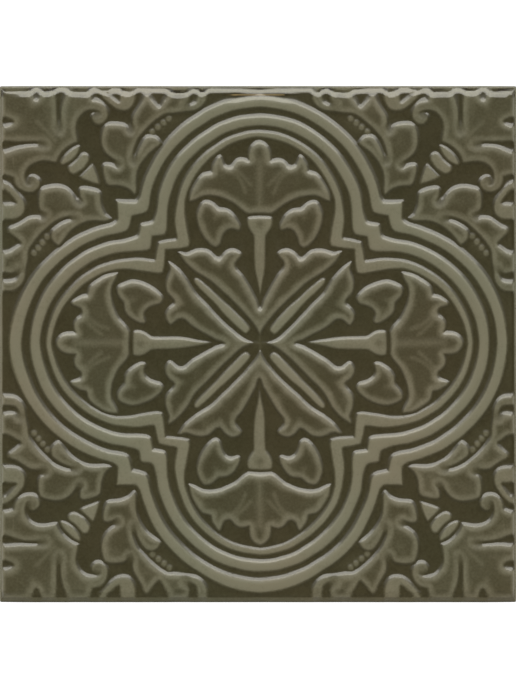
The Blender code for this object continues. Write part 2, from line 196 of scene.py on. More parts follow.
palmette = {
    "mirror": "axis", "rise": 1.02, "wall": (-0.42, 3.1, 2.3),
    "edge": (-0.25, 0.7), "bright": 0.85, "pool": 0.60,
    "outline": [
        (0, 50.6), (4.4, 50.4, 1), (6, 51.2), (7, 52.0), (8, 52.9), (9, 53.8), (10, 54.6), (12, 55.6),
        (13, 56.0), (15, 56.8), (17, 57.2), (19, 57.5), (20, 57.5), (21, 57.4), (22, 57.2), (23, 56.8),
        (24, 56.2), (25, 55.7), (26, 55.2), (27.4, 55.0, 1), (27.25, 56.5), (27.0, 57.9), (26.7, 59.1),
        (26.1, 60.5), (25.4, 61.7), (24.5, 63.2), (23.6, 64.5), (22.5, 65.7), (21.4, 66.3), (20.1, 66.6),
        (19.2, 66.75), (18.75, 67.05, 1), (18.6, 68.1), (18.4, 69.2), (17.8, 70.4), (17, 71.7),
        (16.3, 72.7),
        (15.5, 73.1, 1), (14.9, 72.6), (14.4, 71.3), (14, 70.05), (13.4, 69.25), (12.5, 68.9), (11.7, 68.9),
        (10.85, 69.4), (10.3, 70.2), (9.6, 70.9), (8.8, 71.5), (7.6, 71.9), (6.5, 71.9), (5.3, 71.6),
        (4.4, 71.3, 1), (4.4, 72.5), (4.3, 73.6), (4.1, 74.9), (3.6, 76.3), (2.8, 77.3), (1.85, 78.1),
        (0.7, 78.6), (0, 78.7),
    ],
    "ribs": [
        ([(0, 50.6), (0, 71.0)], 1.6, 0.30, 0.12),
        ([(3.4, 61.4), (5.4, 63.8), (7.6, 66.2), (9.4, 67.6)], 0.8, 0.26, 0.09),
        ([(5.6, 58.5), (6.5, 61.5), (7.7, 63.7), (9.4, 65.5), (11, 66.7)], 0.8, 0.26, 0.09),
    ],
}

heartLeaf = {
    "rise": 1.02, "wall": (-0.42, 3.1, 2.3),
    "edge": (-0.25, 0.7), "bright": 0.81, "pool": 0.62,
    "outline": [
        (15.3, 38.5), (16.2, 37.6), (17.2, 37.2), (18.5, 37.7), (19.5, 38.6), (20.6, 39.8), (21.6, 41.2),
        (22.5, 42.8), (23.3, 44.5), (23.9, 46.3), (24.3, 48.0), (24.4, 49.4), (24.2, 50.6), (23.7, 52),
        (23.2, 53.2), (22.6, 54.3), (21.8, 55.1), (20.6, 55.4), (19.3, 55.1), (18.0, 54.4), (17.0, 53.5),
        (16.2, 52.7), (15.3, 52.4), (14, 52.4), (12.7, 52.2), (11.6, 51.6), (10.5, 50.7), (9.6, 49.6),
        (8.8, 48.3), (8.1, 47.0), (7.7, 46.0), (7.6, 45.0), (7.9, 44.2), (8.6, 44.0, 1), (9.6, 44.3),
        (10.6, 44.6), (11.6, 44.6), (12.6, 44.2), (13.4, 43.5), (14.1, 42.5), (14.6, 41.3), (14.9, 40.2),
        (15.1, 39.2),
    ],
    "ribs": [([(16.1, 53.0), (17, 48.9)], 1.2, 0.24, 0.08)],
}

# Each woven band is an arc about the lobe's centre, then a step to the diagonal. Each side of it
# has the arc's radius at the top, half-way and at the end, and the points of the step.
bands = {
    "lobeCentre": 50.0, "arcEnd": 80.0, "arcPoints": 24,
    "outer": {
        "outside": (
            (46.35, 45.75, 46.8),
            [
                (46.4, 57.0), (47.3, 55.5), (48.2, 54.9, 1), (51.0, 54.9), (55.2, 55.2, 1),
            ],
        ),
        "inside": (
            (42.05, 41.75, 43.1),
            [
                (42.85, 54.5), (43.4, 52.2), (44.3, 51.0), (46.2, 50.3), (48.4, 49.9),
                (49.6, 49.6, 1),
            ],
        ),
        "rise": 0.82, "wall": (-1.0, 2.4, 1.4), "edge": (-0.35, 0.5), "bright": 1.0, "pool": 0.0,
    },
    "middle": {
        "outside": (
            (38.95, 38.7, 39.9),
            [
                (39.9, 52), (40.6, 49.5), (41.2, 47.7), (42.3, 46.7), (44.6, 46.4), (46.0, 46.0, 1),
            ],
        ),
        "inside": (
            (35.0, 34.5, 35.65),
            [
                (35.8, 51.5), (35.85, 48), (36.0, 44.5), (36.5, 43.0), (37.3, 42.2), (40.0, 41.9),
                (41.6, 41.6, 1),
            ],
        ),
        "rise": 0.82, "wall": (-0.7, 2.1, 1.4), "edge": (-0.35, 0.5), "bright": 1.0, "pool": 0.0,
    },
    "inner": {
        "outside": (
            (32.6, 31.85, 32.4),
            [
                (32.6, 51), (32.9, 47.5), (32.3, 43.8), (31.9, 41.3), (32.3, 40.5), (35.0, 40.2),
                (39.1, 39.1, 1),
            ],
        ),
        "inside": (
            (30.4, 29.3, 29.45),
            [
                (29.0, 50.5), (28.5, 48), (28.0, 45), (27.4, 41.5), (27.0, 39.4), (27.4, 37.8, 1),
                (29.5, 37.2), (33.0, 36.85), (36.6, 36.6, 1),
            ],
        ),
        "rise": 0.54, "wall": (-0.7, 1.7, 1.4), "edge": (-0.4, 0.6), "bright": 0.95, "pool": 0.0,
    },
}

# The leaf spray outside the bands, with its curl running off the tile.
spray = {
    "rise": 0.98, "wall": (-0.68, 3.2, 2.4),
    "edge": (-0.3, 0.65), "bright": 0.80, "pool": 0.55,
    "outline": [
        (48.5, 57.6, 1), (49.3, 58.5), (50.3, 59.6), (51.5, 60.2), (53, 60.8), (54.5, 61.2), (56, 61.3),
        (57.5, 61.4), (58.6, 61.6), (59.4, 62.4), (60, 63.8), (60.4, 65.5), (60.7, 67), (60.8, 68.5),
        (60.4, 69.4), (59.6, 69.8), (58.4, 69.7), (57, 69.4), (55.8, 68.8), (55, 68.5), (54.3, 69.5),
        (54.5, 70.2), (55.3, 70.8), (56.3, 71.3), (57.5, 72), (58.8, 73), (59.8, 74), (60.6, 75.3),
        (61.1, 76.7), (61.4, 78.3), (61.4, 79.8), (61.2, 81.3), (60.9, 82.6), (60.5, 84), (59.9, 84.9),
        (58.9, 85.4), (57.5, 85.7), (56, 85.8), (54.5, 85.7), (53, 85.5), (52, 85), (51.3, 84.2),
        (50.9, 83.2), (50.4, 82.5), (49.7, 82.2), (49.1, 82.6), (48.9, 83.6), (49.0, 84.5), (49.3, 86),
        (49.3, 87.3), (49.1, 88.6), (48.6, 89.7), (47.8, 90.8), (47, 92), (46.2, 93.2), (45.5, 94.3),
        (45.1, 95.4), (44.6, 96.3), (43.8, 96.8), (42.9, 96.4), (42.2, 95.4), (41.3, 94.4), (40.4, 93.4),
        (39.7, 92.6), (39, 92.1, 1), (38.3, 92.3), (37.9, 93), (37.3, 94), (36.6, 95), (36.0, 95.9),
        (35.4, 97.4), (35.0, past), (28.3, past), (27.6, 98), (27.3, 96.8), (27.2, 95.5), (27.6, 94.2),
        (28.6, 93.2), (30, 92.7), (27.8, 92.5), (25.5, 93.3), (24.2, 94.6), (24.2, past),
        (20.3, past), (20.3, 96), (20.6, 94.5), (21.5, 93), (23, 91.6), (25, 90.7), (27, 90.5),
        (29, 90.3), (31, 89.9), (33, 89.5), (35.2, 89.5), (37, 89), (38.5, 88), (40.5, 86.5),
        (42.5, 84.8), (44, 83.2), (45.5, 81.6), (46.8, 80.2), (47.6, 78.8), (48.2, 77.3), (48.8, 75.6),
        (49.2, 73.8), (49.4, 72), (49.3, 70.5), (48.3, 70), (48.2, 71.3), (48, 72.8), (47.6, 74.3),
        (47, 75.8), (46.3, 77.2), (45.5, 78.5), (44.7, 79.6), (43.8, 80.5), (42.5, 80.8), (41.5, 80.8),
        (40.5, 80.5), (39.6, 79.9), (38.8, 79), (38.1, 77.8, 1), (39.2, 76.7), (40.5, 75.9), (41.8, 74.9),
        (43, 73.9), (44.2, 72.6), (45.2, 71.3), (46.2, 69.8), (46.9, 68.3), (47.4, 66.8), (47.7, 65.2),
        (47.8, 63.5), (47.8, 61.5), (47.7, 59.8), (47.9, 58.5),
    ],
}

# Places where the glaze has levelled the relief: x, y, reach.
levelled = [
    (77.5, 83.4, 3.0), (49.3, 83.0, 2.6), (54.6, 70.0, 2.0), (48.8, 71.2, 2.4), (29.0, 92.8, 2.4),
    (63.0, 88.4, 1.7),
]

# Two faint ridges cross in the middle and die away along the run.
cross = {"run": (6.0, 3.0), "wide": 0.55, "height": 0.14, "bright": 0.24}

beads = {
    "radius": 1.5, "height": 0.36, "fullness": 0.8,
    "bright": 0.60, "brightRun": (0.0, 0.8),
    "at": [(35.1, 87.4), (37.2, 85.7), (39.3, 84.0), (41.5, 82.2)],
}

sideScroll = {
    "rise": 0.74, "wall": (-1.0, 2.0, 1.5),
    "edge": (-0.5, 0.5), "bright": 0.86, "pool": 0.0,
    "outline": [
        (48.3, past), (48.2, 96.5), (48.4, 94.7), (48.9, 93.3), (49.7, 92.1), (50.9, 91.1), (52.5, 90.7),
        (54.2, 90.8), (55.8, 91.3), (57.6, 92.6), (59.6, 94.3), (61.2, 96.0), (62.2, 97.5), (63.5, past),
        (61.0, past), (59.7, 97.4), (58.4, 96.2), (56.6, 94.7), (55.2, 93.7), (54.4, 93.6), (54.0, 94.6),
        (54.1, 96), (53.9, 97.3), (53.4, past),
    ],
}

cornerPalmette = {
    "mirror": "diagonal", "rise": 0.92, "wall": (-0.75, 3.2, 2.3),
    "edge": (-0.3, 0.7), "bright": 0.77, "pool": 0.44,
    "outline": [
        (75.5, 75.5), (73, 77.5), (70.3, 78.5, 1), (70.4, 80), (70.8, 82), (71.0, 84), (70.7, 86),
        (69.9, 87.9), (68.6, 89.4), (67.0, 90.35), (65.2, 90.65), (63.6, 90.5), (62.3, 90.1), (61.7, 89.4),
        (61.9, 88.8), (62.8, 88.7), (63.9, 89.1), (64.8, 88.9), (65.2, 88.0), (65.1, 87.0), (64.4, 85.9),
        (63.4, 85.1), (62.2, 84.9), (60.9, 85.3), (59.8, 86.2), (59.0, 87.4), (58.7, 88.8), (58.9, 90.6),
        (59.6, 92.2), (60.7, 93.5), (62.0, 94.3), (63.4, 94.6), (64.6, 94.8, 1), (65.1, 96.2), (65.6, 98.0),
        (65.8, past), (74.4, past), (74.6, 98.2), (75.0, 96.6), (75.7, 95.0), (76.3, 93.3),
        (76.8, 91.4), (77.0, 89.2), (77.0, 86.5), (76.9, 84), (77.1, 82.3, 1), (78.2, 83), (78.4, 86),
        (78.4, 90), (78.4, 94), (78.7, 96.6), (78.9, past), (84.8, past), (84.8, 98.0),
        (85.1, 96.6), (85.7, 95.4), (86.5, 94.7), (87.3, 95.5), (87.9, 96.8), (88.2, 98.2), (88.2, past),
        (past, past, 1),
    ],
    "ribs": [([(79, 79), (86.2, 86.2)], 0.8, 0.24, 0.08), ([(86.5, 95.5), (88, 92)], 1.2, 0.24, 0.08)],
}

pods = {
    "rise": 0.58, "wall": (-0.5, 1.7, 1.5),
    "edge": (-0.3, 0.75), "bright": 0.93, "pool": 0.0,
    "outlines": [
        [
            (71.8, 71.8), (70.4, 73.7), (69.6, 75.4), (69.4, 76.6), (69.8, 77.2), (71, 76.8),
            (72.5, 75.9), (74.3, 74.3),
        ],
        [
            (68, 68), (67, 69.5), (66, 71), (65.8, 72.3), (66.4, 73.5), (67.4, 74.2), (68.6, 74),
            (69.5, 73), (71, 71),
        ],
        [(61.9, 62.1, 1), (62.4, 64), (63.2, 66.5), (64, 68.5), (64.8, 69.6, 1), (67.2, 67.2)],
    ],
}


def wallRise(inward, wall):
    # from 0 at the foot to 1 at the top
    foot, width, power = wall
    return 1 - (1 - np.clip((inward - foot) / width, 0, 1)) ** power


def raiseShape(fields, outline, look):
    # near is the distance in from the closest outline, and less than 0 on open ground
    patch = patchAround(outline, press["farthest"])
    inward = lineDistance(outline, patch, True)
    up = wallRise(inward, look["wall"])
    light = look["bright"] * smoothStep(*look["edge"], inward)
    dip = np.full(inward.shape, look["pool"])
    within = smoothStep(*press["ribRun"], inward)
    for line, wide, bright, rise in look.get("ribs", []):
        ridge = within * np.exp(-(lineDistance(softenOutline(line, False), patch, False) / wide) ** 2)
        up += rise * ridge
        dip -= bright * ridge
    for x, y, wide, tall, sink, dull in look.get("hollows", []):
        dent = np.exp(-1.5 * (((gridX[patch] - x) / wide) ** 2 + ((gridY[patch] - y) / tall) ** 2))
        up -= sink * dent
        light -= dull * dent
    fields["height"][patch] = np.maximum(fields["height"][patch], press["relief"] * look["rise"] * up)
    fields["light"][patch] = np.maximum(fields["light"][patch], light)
    fields["dip"][patch] = np.where(inward > fields["near"][patch], dip, fields["dip"][patch])
    fields["near"][patch] = np.maximum(fields["near"][patch], inward)


def bandSide(rim):
    # the arc's radius follows a parabola through its three values
    (top, middle, end), step = rim
    slope, bend = 4 * middle - 3 * top - end, 2 * (top + end - 2 * middle)
    points = []
    for i in range(-3, bands["arcPoints"] + 1):  # it starts a little beyond the axis
        t = i / bands["arcPoints"]
        angle = math.radians(bands["arcEnd"] * t)
        radius = top + slope * t + bend * t * t
        points.append((radius * math.sin(angle), bands["lobeCentre"] + radius * math.cos(angle)))
    return mirrorAcrossDiagonal(points + step)


def pressRelief():
    fields = {name: np.zeros_like(gridX) for name in ("height", "light", "dip")}
    fields["near"] = np.full_like(gridX, -press["farthest"])
    for look in (centreLeaf, diagonalBar, spindle, palmette, heartLeaf, spray, sideScroll, cornerPalmette):
        outline = look["outline"]
        if look.get("mirror") == "axis":
            outline = mirrorAcrossAxis(outline)
        elif look.get("mirror") == "diagonal":
            outline = mirrorAcrossDiagonal(outline)
        raiseShape(fields, softenOutline(outline), look)
    for outline in pods["outlines"]:
        raiseShape(fields, softenOutline(mirrorAcrossDiagonal(outline)), pods)
    for name in ("outer", "middle", "inner"):
        look = bands[name]
        outline = bandSide(look["outside"]) + bandSide(look["inside"])[::-1]
        raiseShape(fields, softenOutline(outline), look)
    for x, y in beads["at"]:
        dome = np.clip(1 - (np.hypot(gridX - x, gridY - y) / beads["radius"]) ** 2, 0, 1)
        fields["height"] = np.maximum(fields["height"], beads["height"] * dome ** beads["fullness"])
        fields["light"] = np.maximum(fields["light"], beads["bright"] * smoothStep(*beads["brightRun"], dome))
    ridge = np.exp(-(gridX / cross["wide"]) ** 2) * smoothStep(*cross["run"], gridY)
    fields["height"] += cross["height"] * ridge
    fields["light"] = np.maximum(fields["light"], cross["bright"] * ridge)
    height, light, dip, near = fields.values()
    dip = np.where(near.T > near, dip.T, dip)
    return [np.maximum(field, field.T) for field in (height, light, near)] + [dip]


# How the glaze softens the pressed clay and where it runs thin. Widths are in millimetres.
coat = {
    "foot": 0.18, "crest": 0.6, "crestRun": (0.5, 1.6),  # a wall's foot stays crisp, its crest is rounded
    "levelled": 1.15, "levelledLight": 1.2, "levelledShare": 0.8,
    "border": 0.4, "borderRun": (91.0, 95.5),            # softer towards the tile's edge
    "lobes": 0.7,                                        # the broad lobes that the edge follows
    "openGroundPoolAndShade": 0.16, "openGroundPoolAndShadeRun": (0.8, 4.0),           # open ground is lighter than the feet of walls: partly a deeper pool there, partly painted shade
    "light": 0.15,
}

# Along the upper edge the walls are longer and gentler.
upperWall = {
    "rise": 0.92, "wall": (-1.15, 3.1, 1.2), "soften": 0.25,
    "filled": [(59.6, 98.4, 1.7)],        # a hollow that the glaze has filled: x, y, reach
    "run": (92.5, 95.5), "clearOf": (14.0, 24.0),  # where it takes over, and how far from the axis
}

# surface is the glazed face's height over its field, and light how thin the glaze lies, with painted shade at
# the feet of walls
body, light, near, dip = pressRelief()
surface, rounded = blurField(body, coat["foot"]), blurField(body, coat["crest"])
surface += smoothStep(*coat["crestRun"], near) * (rounded - surface)
levelling = np.zeros_like(surface)
for x, y, reach in levelled:
    levelling = np.maximum(levelling, np.exp(-(np.hypot(gridX - x, gridY - y) / reach) ** 4))
levelling = np.maximum(levelling, levelling.T)
surface += levelling * (blurField(surface, coat["levelled"]) - surface)
border = smoothStep(*coat["borderRun"], np.maximum(gridX, gridY))
surface += border * (blurField(surface, coat["border"]) - surface)
lobes = blurField(surface, coat["lobes"])

filled = near
for x, y, reach in upperWall["filled"]:
    filled = np.maximum(filled, reach - np.hypot(gridX - x, gridY - y))
brim = press["relief"] * upperWall["rise"] * wallRise(filled, upperWall["wall"])
brimLobes = blurField(brim, coat["lobes"])
brim = blurField(brim, upperWall["soften"])

# painted shade: ground beside the walls is left darker, partly as a deeper pool and partly as the shade at
# their feet
light = light + coat["openGroundPoolAndShade"] * smoothStep(*coat["openGroundPoolAndShadeRun"], -near)
light = blurField(light, coat["light"])
light += coat["levelledShare"] * levelling * (blurField(light, coat["levelledLight"]) - light)
print("relief pressed", surface.shape, round(float(surface.max()), 3))


def meshFromArrays(name, points, corners, starts, totals):
    mesh = bpy.data.meshes.new(name)
    mesh.vertices.add(len(points))
    mesh.vertices.foreach_set("co", np.ascontiguousarray(points, np.float32).ravel())
    mesh.loops.add(len(corners))
    mesh.loops.foreach_set("vertex_index", np.ascontiguousarray(corners, np.int32))
    mesh.polygons.add(len(starts))
    mesh.polygons.foreach_set("loop_start", np.ascontiguousarray(starts, np.int32))
    mesh.polygons.foreach_set("loop_total", np.ascontiguousarray(totals, np.int32))
    mesh.update(calc_edges=True)
    return mesh


def softMin(a, b, width):
    gap = np.clip((a - b) / width, -40, 40)
    return a - width * np.log1p(np.exp(gap))


# How the face falls to its edge and meets a lip there, in millimetres.
edgeFall = {
    "start": (2.68, 1.60, 0.25),     # how far in it begins, more by a lobe, more in a side's middle
    "middleRun": (75.0, 55.0),
    "slope": 0.47, "soft": 0.09,
    "waver": [(0.18, 0.19, 1.0), (0.12, 0.47, 2.2), (0.08, 1.13, 0.5)],  # size, rate, start
    "cornerRuns": ((90.5, 99.5), (95.0, 99.8)), "cornerOut": 2.0,  # it runs out at left and right
    "lip": (6.94, 0.93, 0.34, 0.31),  # level at the edge, slope, how it sinks by a lobe and in the middle
    "lipMiddleRun": (62.0, 45.0), "lipBlend": 0.05,
    "lipCorner": 0.55, "upperRun": (94.0, 96.0),
    "sideTight": (1.0, 2.2),         # the left and right edges are rounded more tightly, this far in
    "meetSoft": 0.15,                # where two edges meet
}


def edgeSway(placed):
    # the edge's line wavers, and runs out towards the corners
    along = placed[:, 0]
    waver = sum(size * np.sin(rate * along + turn) for size, rate, turn in edgeFall["waver"])
    leftRun, rightRun = edgeFall["cornerRuns"]
    corners = smoothStep(*leftRun, -along) + smoothStep(*rightRun, along)
    return waver, edgeFall["cornerOut"] * corners


def easedHeight(raised, lobe, placed, fromEdge):
    # the face falls gently near its edge, then steeply from where it meets the lip
    waver, corners = edgeSway(placed)
    across, upper = np.abs(placed[:, 0]), smoothStep(*edgeFall["upperRun"], placed[:, 1])
    base, byLobe, inMiddle = edgeFall["start"]
    start = base + byLobe * lobe + inMiddle * smoothStep(*edgeFall["middleRun"], across) + waver - corners
    soft, fallSlope = edgeFall["soft"], edgeFall["slope"]
    fall = fallSlope * soft * np.log1p(np.exp(np.clip((start - fromEdge) / soft, -40, 40)))
    level, slope, byLobe, inMiddle = edgeFall["lip"]
    level = level - byLobe * lobe - inMiddle * smoothStep(*edgeFall["lipMiddleRun"], across)
    level = level - slope * (waver - edgeFall["lipCorner"] * corners * upper)
    face = blank["fieldHeight"] + raised
    meeting = (face - fallSlope * start - level) / (slope - fallSlope)
    return softMin(face - fall, level + slope * fromEdge, edgeFall["lipBlend"]), start, meeting


# The net of triangles over one quarter.
quarterNet = {
    "triangles": 42000,
    "stretch": 1.6,             # taller than it is, so that slopes draw more triangles
    "brimShare": 0.5,           # one net serves the upper and the lower edge
    "ripple": 0.06, "rippleRun": (94.5, 95.2),
    "snap": 0.04,
}


def thinnedQuarter():
    # a fine net, thinned so that its triangles gather on the slopes; only their places are used
    count = len(axis)
    far = np.maximum(gridX, gridY)
    mixed = surface + quarterNet["brimShare"] * smoothStep(*upperWall["run"], far) * (brim - surface)
    sideMiddle = np.zeros((mixed.size, 2))  # the edge is taken as in the middle of a side
    fromEdge = blank["halfSide"] - far.ravel()
    z = easedHeight(mixed.ravel(), lobes.ravel(), sideMiddle, fromEdge)[0].reshape(far.shape)
    # a ripple keeps the net fine near the upper and lower edges
    z += quarterNet["ripple"] * np.sin(2 * math.pi * gridY) * smoothStep(*quarterNet["rippleRun"], gridY)
    points = np.stack([gridX, gridY, z * quarterNet["stretch"]], -1).reshape(-1, 3)
    index = np.arange(count * count).reshape(count, count)
    quads = np.stack([index[:-1, :-1], index[1:, :-1], index[1:, 1:], index[:-1, 1:]], -1).reshape(-1, 4)
    starts = np.arange(len(quads)) * 4
    mesh = meshFromArrays("quarterNet", points, quads.ravel(), starts, np.full(len(quads), 4))
    net = bpy.data.objects.new("quarterNet", mesh)
    bpy.context.scene.collection.objects.link(net)
    thin = net.modifiers.new("thin", "DECIMATE")
    thin.ratio = quarterNet["triangles"] / (2 * len(quads))
    made = bpy.data.meshes.new_from_object(net.evaluated_get(bpy.context.evaluated_depsgraph_get()))
    made.calc_loop_triangles()
    spots = np.empty(len(made.vertices) * 3)
    made.vertices.foreach_get("co", spots)
    faces = np.empty(len(made.loop_triangles) * 3, np.int32)
    made.loop_triangles.foreach_get("vertices", faces)
    bpy.data.objects.remove(net)
    return spots.reshape(-1, 3)[:, :2], faces.reshape(-1, 3)


def wholeFace():
    spots, faces = thinnedQuarter()
    reach, snap = blank["topReach"], quarterNet["snap"]
    spots[np.abs(spots) < snap] = 0.0
    spots[np.abs(spots - reach) < snap] = reach
    allSpots, allFaces = [], []
    for i, (sx, sy) in enumerate(((1, 1), (-1, 1), (-1, -1), (1, -1))):
        allSpots.append(spots * (sx, sy))
        allFaces.append((faces if sx * sy > 0 else faces[:, ::-1]) + i * len(spots))
    spots, faces = np.concatenate(allSpots), np.concatenate(allFaces)
    # the four quarters share the points along the axes
    keys = np.round(spots * 1000).astype(np.int64)
    _, kept, index = np.unique(keys, axis=0, return_index=True, return_inverse=True)
    spots, faces = spots[kept], index.reshape(-1)[faces]
    good = (faces[:, 0] != faces[:, 1]) & (faces[:, 1] != faces[:, 2]) & (faces[:, 2] != faces[:, 0])
    return spots, faces[good]


# The press sat off centre and the clay crept a little, but the tile's own edge did not move.
pressing = {
    "shift": (0.70, 0.35),            # to the right and up
    "tall": 0.994,
    "fade": (88.0, 99.0),
    "creep": [(0.10, 0.031, 0.011, 0.4), (0.08, -0.017, 0.043, 1.9), (0.05, 0.071, 0.052, 3.1)],
    "outOfStep": (1.3, 1.0),
    "lobeShort": 0.9, "lobeRun": (90.0, 94.0), "lobeWide": (14.0, 8.0),  # the upper lobe's top
}


def shiftedSpots(spots):
    moved = np.zeros_like(spots) + pressing["shift"]
    moved[:, 1] += (pressing["tall"] - 1) * spots[:, 1]
    faster, later = pressing["outOfStep"]
    for size, across, along, start in pressing["creep"]:
        turn = 2 * math.pi * (across * spots[:, 0] + along * spots[:, 1]) + start
        moved += size * np.column_stack([np.sin(turn), np.cos(faster * turn + later)])
    keep = 1 - smoothStep(*pressing["fade"], np.abs(spots))
    return spots + keep * moved


def heightOver(spots):
    placed = shiftedSpots(spots)
    fromSide, fromEnd = (blank["halfSide"] - np.abs(placed)).T
    tight, tightReach = edgeFall["sideTight"]
    fromSide = fromSide + tight * np.minimum(fromSide, tightReach)
    soft = edgeFall["meetSoft"]
    nearest = -soft * np.log(np.exp(-fromSide / soft) + np.exp(-fromEnd / soft))
    # the top of the upper lobe was pressed a little short
    across, up = np.abs(spots[:, 0]), spots[:, 1]
    rise = pressing["lobeShort"] * smoothStep(*pressing["lobeRun"], up)
    up = up + rise * smoothStep(*pressing["lobeWide"], across)
    upper = smoothStep(*upperWall["run"], up) * smoothStep(*upperWall["clearOf"], across)
    here = across, np.abs(up)
    raised, lobe = fieldAt(surface, *here), fieldAt(lobes, *here)
    raised += upper * (fieldAt(brim, *here) - raised)
    lobe += upper * (fieldAt(brimLobes, *here) - lobe)
    z, start, meeting = easedHeight(raised, lobe, placed, nearest)
    return placed, z, nearest, start, meeting


# How the glaze lies near the tile's edges. Runs are in millimetres.
edgeGlaze = {
    "endRun": (95.0, 96.5), "leftRun": (98.5, 99.3), "rightRun": (99.0, 99.6),
    "poolRun": (2.0, 4.5),                       # no leaf pools close to an edge
    "fallThin": 0.8, "fallRun": (0.1, -0.8),     # from where the upper face begins to fall
    "steepDull": 0.5, "steepRuns": ((0.08, -0.12), (-1.5, -1.1)),  # from where it meets the lip
    # painted light: the left and right edges are paler, partly thin glaze over their rounding and partly
    # lightened to hide their shading
    "sideThinAndLit": 1.1,
    "rightLine": (0.25, 98.6, 0.4),              # a deeper line just inside the right edge
    "lowerThin": 0.5, "lowerRun": (2.2, 1.7),
    "streak": (1.9, 96.5, 0.55), "streakRun": (13.0, 9.0),
}


def tileSurface(spots):
    placed, z, nearest, start, meeting = heightOver(spots)
    slope = np.empty_like(spots)
    reach = 0.14  # the slope is taken over this far to both sides
    for turn in (0, 1):
        step = np.zeros(2)
        step[turn] = reach
        ahead, high = heightOver(spots + step)[:2]
        behind, low = heightOver(spots - step)[:2]
        slope[:, turn] = (high - low) / (ahead - behind)[:, turn]
    look, here = edgeGlaze, np.abs(spots).T
    thin, inward = fieldAt(light, *here), fieldAt(near, *here)
    pool = np.clip(fieldAt(dip, *here), 0, 1) * smoothStep(*look["poolRun"], nearest)
    x, y = placed.T
    north, south = smoothStep(*look["endRun"], y), smoothStep(*look["endRun"], -y)
    left, right = smoothStep(*look["leftRun"], -x), smoothStep(*look["rightRun"], x)
    # thin where the upper face falls, and patchy on the steep part beyond it
    low, high = look["fallRun"]
    thin = np.maximum(thin, look["fallThin"] * north * smoothStep(start + low, start + high, nearest))
    (low, high), (lipLow, lipHigh) = look["steepRuns"]
    steep = north * smoothStep(meeting + low, meeting + high, nearest)
    steep = steep * smoothStep(meeting + lipLow, meeting + lipHigh, nearest)
    thin = thin * (1 - look["steepDull"] * steep)
    # the left and right edges: thin glaze, and painted light over their shaded slopes
    thin = thin + (1 - north) * (left + right) * (look["sideThinAndLit"] - thin)
    depth, at, wide = look["rightLine"]
    thin -= depth * np.exp(-((x - at) / wide) ** 2)
    end = south * smoothStep(*look["lowerRun"], nearest)
    thin = thin + end * (look["lowerThin"] - thin)
    strength, at, wide = look["streak"]
    streak = north * np.exp(-((y - at) / wide) ** 2) * smoothStep(*look["streakRun"], np.abs(x))
    return placed, z, slope, (thin, steep + strength * streak, inward, pool)


def boundaryLoop(spots, faces):
    # the face's outer edge, as a loop of points running anticlockwise
    ends = np.concatenate([faces[:, [0, 1]], faces[:, [1, 2]], faces[:, [2, 0]]])
    keys = np.sort(ends, 1)
    _, first, counts = np.unique(keys, axis=0, return_index=True, return_counts=True)
    after = dict(ends[first[counts == 1]].tolist())
    start = next(iter(after))
    loop = [start]
    while after[loop[-1]] != start:
        loop.append(after[loop[-1]])
    return np.array(loop)


# The rings down the sides, from the top. The first six hang from the face's edge and the last
# three stand over the bench: each has its reach outwards and its height.
sides = {
    "hanging": [(0.18, -0.04), (0.52, -0.12), (0.68, -0.27), (0.75, -0.55), (0.75, -2.6), (0.75, -4.8)],
    "standing": [(0.75, 0.55), (0.6, 0.15), (0.2, 0.0)],
    "tilts": (10, 12, 50, 84, 90, 90, 92, 120, 150),  # how far the surface leans, in degrees
    "thin": (0.90, 0.95, 0.85, 0.6, 0.5, 0.6, 0.7, 0.7, 0.7),
    # painted shade: the rings facing up and down the picture are darkened into a dark edge line
    "paintedShadeNorth": (0.0, 0.0, -0.55, -0.35, 0.0, 0.0, 0.0, 0.0, 0.0),
    "paintedShadeSouth": (-0.40, -0.85, -0.8, -0.55, 0.0, 0.0, 0.0, 0.0, 0.0),
    "worn": (0.2, 0.1, 0.1, 0.3, 0.35, 0.6, 0.8, 0.8, 0.8),
    "facing": (0.5, 0.9),
    "bareBands": 2,           # between the last three rings the clay is bare
    "cornerRound": 0.35,
    "trim": (0.9993, -0.06),  # the tile is a hair short from top to bottom
}


